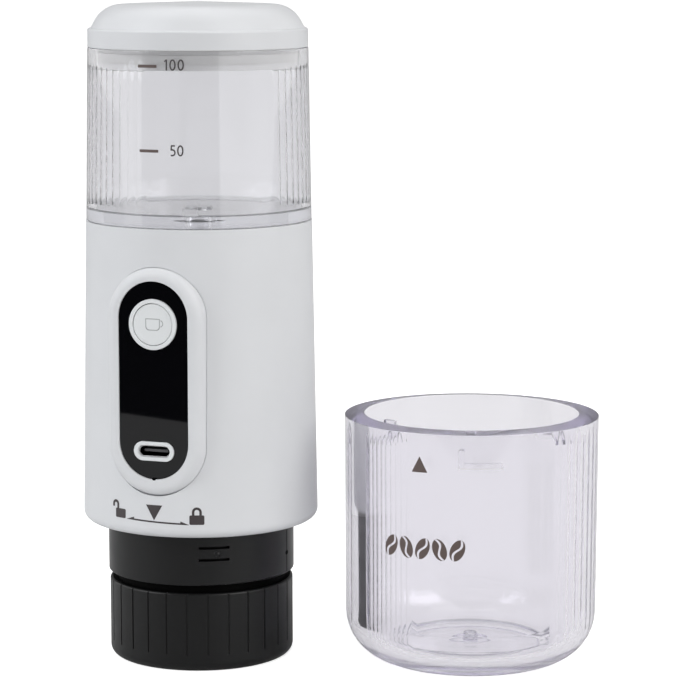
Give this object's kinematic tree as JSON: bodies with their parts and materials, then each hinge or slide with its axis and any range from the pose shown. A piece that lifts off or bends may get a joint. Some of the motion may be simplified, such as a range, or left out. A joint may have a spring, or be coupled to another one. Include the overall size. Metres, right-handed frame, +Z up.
{
  "type": "portable capsule coffee maker",
  "caption": "Upright battery coffee maker: domed lid, clear fluted water tank, white body with oval button panel, black collar and ribbed capsule knob, with a separate clear cup.",
  "frame": {"origin": "the machine's axis on the table plane, at the middle of the knob's underside", "axes": "+Z up along the machine's axis, -Y towards the front, +X towards the side where the cup stands"},
  "size_m": [0.1382, 0.0717, 0.1757],
  "materials": {
    "white_shell": "satin moulded white plastic",
    "white_button": "smooth white plastic",
    "white_inner": "plain white moulded plastic",
    "grey_plug": "milky grey plastic",
    "clear_tank": "clear moulded plastic",
    "clear_cup": "clear moulded plastic",
    "black_glass": "high gloss black",
    "black_plastic": "satin black plastic",
    "black_knob": "fine matt black plastic",
    "socket_black": "black plastic",
    "steel": "plain steel",
    "board_green": "green laminate",
    "display_dark": "dark display",
    "inner_plastic": "grey moulded plastic",
    "pump_plastic": "off-white moulded plastic",
    "gear_plastic": "white acetal",
    "cell_wrap": "blue film wrap on a metal can",
    "hose": "milky silicone hose",
    "seal_rubber": "soft silicone"
  },
  "bodies": {
    "machine": {"body_shell": "white_shell", "body_deck": "white_inner", "panel_bezel": "white_shell", "panel_window": "black_glass", "button_ring": "white_button", "button_switch": "socket_black", "socket_surround": "white_button", "socket_shell": "steel", "socket_tongue": "socket_black", "control_board": "board_green", "display_module": "display_dark", "inner_frame": "inner_plastic", "battery_cells": "cell_wrap", "battery_strap": "steel", "motor_can": "steel", "gear_pin": "steel", "pump_housing": "pump_plastic", "pump_cover": "pump_plastic", "pump_screws": "steel", "inlet_tube": "hose", "outlet_tube": "hose", "brew_head": "inner_plastic", "brew_gasket": "seal_rubber", "piercing_needle": "steel", "head_screws": "steel", "lower_collar": "black_plastic"},
    "tank": {"water_tank": "clear_tank", "tank_filter": "steel", "tank_o_ring": "seal_rubber"},
    "lid": {"lid_shell": "white_shell", "lid_plug": "grey_plug", "lid_gasket": "seal_rubber"},
    "button": {"button_cap": "white_button"},
    "holder": {"capsule_basket": "black_plastic", "pierce_plate": "steel"},
    "knob": {"holder_knob": "black_knob"},
    "rotor": {"motor_shaft": "steel", "drive_gear": "gear_plastic"},
    "idler": {"driven_gear": "gear_plastic"},
    "cup": {"cup": "clear_cup"}
  },
  "joints": [
    {"name": "lid_lift", "type": "slide", "parent": "tank", "child": "lid", "axis": [0, 0, 1], "range_m": [0, 0.03]},
    {"name": "tank_lift", "type": "slide", "parent": "machine", "child": "tank", "axis": [0, 0, 1], "range_m": [0, 0.03]},
    {"name": "button_press", "type": "slide", "parent": "machine", "child": "button", "axis": [0.3338, 0.9426, 0], "range_m": [0, 0.0008], "stiffness_N_per_m": 600, "springref_m": -0.0004},
    {"name": "holder_drop", "type": "slide", "parent": "machine", "child": "holder", "axis": [0, 0, -1], "range_m": [0, 0.04]},
    {"name": "knob_turn", "type": "hinge", "parent": "holder", "child": "knob", "pos_m": [0, 0, 0.01], "axis": [0, 0, -1], "range_deg": [0, 900]},
    {"name": "motor_spin", "type": "hinge", "parent": "machine", "child": "rotor", "pos_m": [-0.00297, -0.00839, 0.051], "axis": [0, 0, 1], "continuous": true},
    {"name": "driven_gear_spin", "type": "hinge", "parent": "machine", "child": "idler", "pos_m": [0.0073, -0.01203, 0.051], "axis": [0, 0, 1], "continuous": true},
    {"name": "cup_lift", "type": "slide", "parent": "machine", "child": "cup", "axis": [0, 0, 1], "range_m": [0, 0.06]}
  ],
  "couplings": [
    {"joint": "driven_gear_spin", "follows": "motor_spin", "ratio": -1},
    {"joint": "knob_turn", "follows": "holder_drop", "rad_per_m": 392.7}
  ]
}
